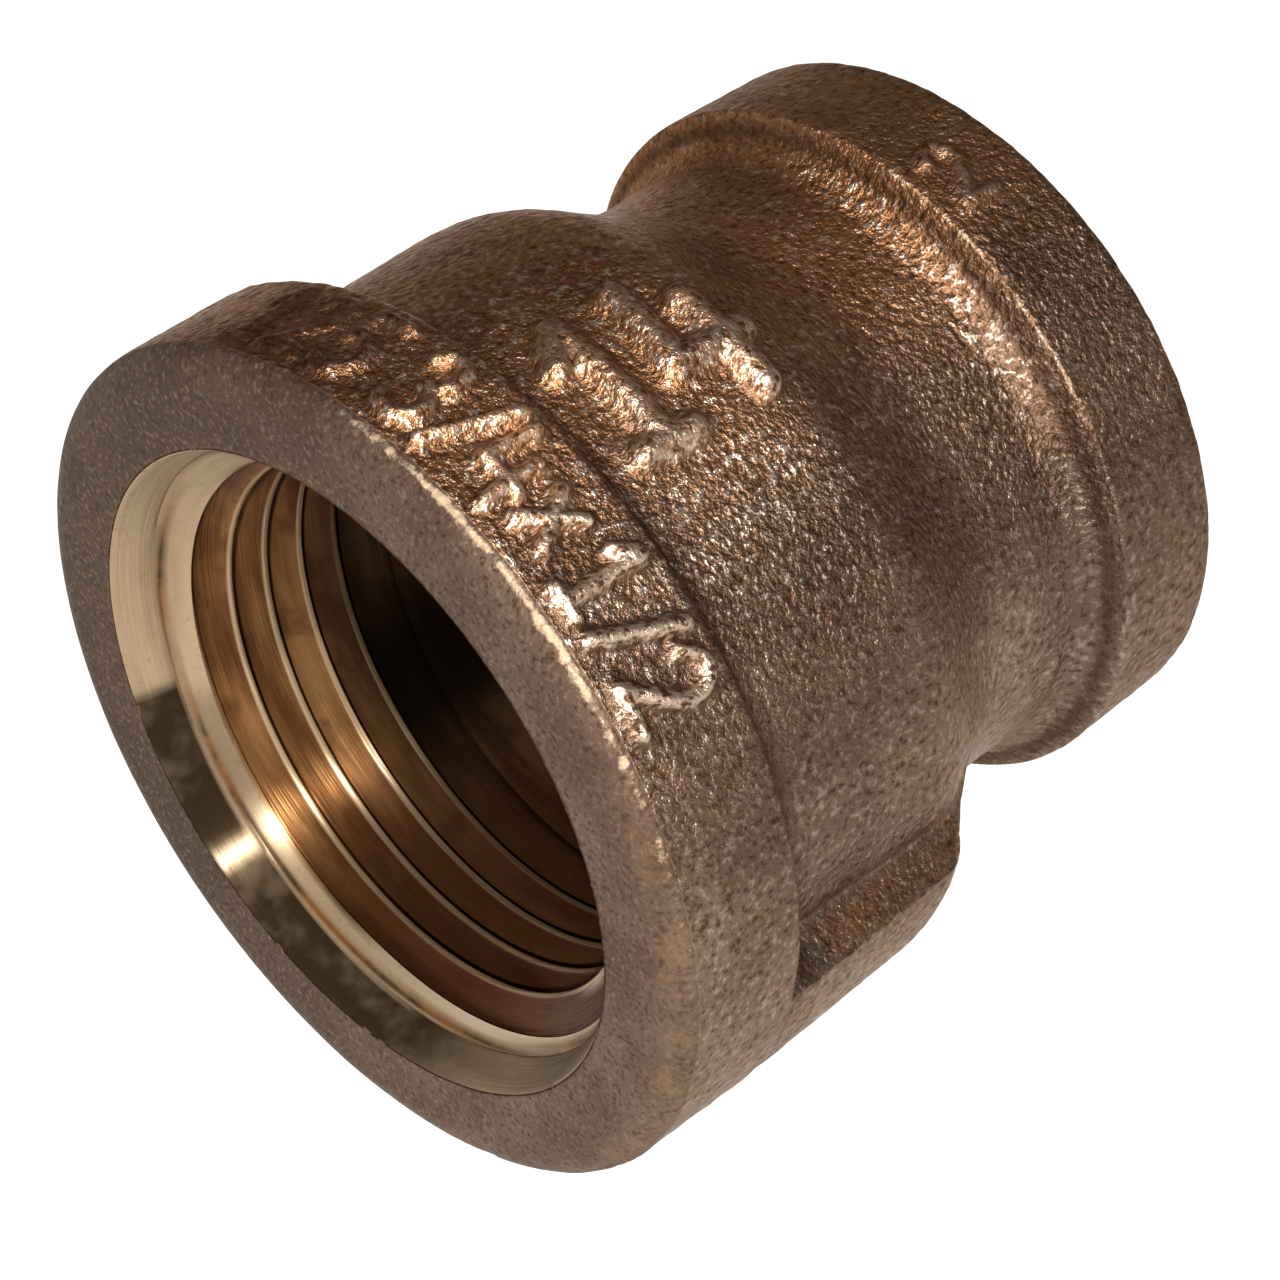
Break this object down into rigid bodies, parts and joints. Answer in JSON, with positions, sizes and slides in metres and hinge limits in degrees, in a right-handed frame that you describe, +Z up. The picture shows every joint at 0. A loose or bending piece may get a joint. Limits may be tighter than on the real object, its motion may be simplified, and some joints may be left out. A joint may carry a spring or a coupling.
{
  "type": "reducing coupling",
  "caption": "Cast bronze pipe fitting that joins a larger and a smaller threaded pipe end on one axis, with a band round each mouth and a wrench rib.",
  "frame": {"origin": "centre of the bounding box: on the bore axis, half way between the two end faces", "axes": "+X along the bore axis from the large mouth to the small mouth, +Z up as the fitting lies on its side, the wrench rib on the -Y side a little below the middle"},
  "size_m": [0.0332, 0.0366, 0.0366],
  "materials": {
    "cast_bronze": "sand-cast bronze with a fine grain, brown on the outside, machined bright in the bores"
  },
  "bodies": {
    "root": {"coupling_casting": "cast_bronze"}
  },
  "joints": []
}
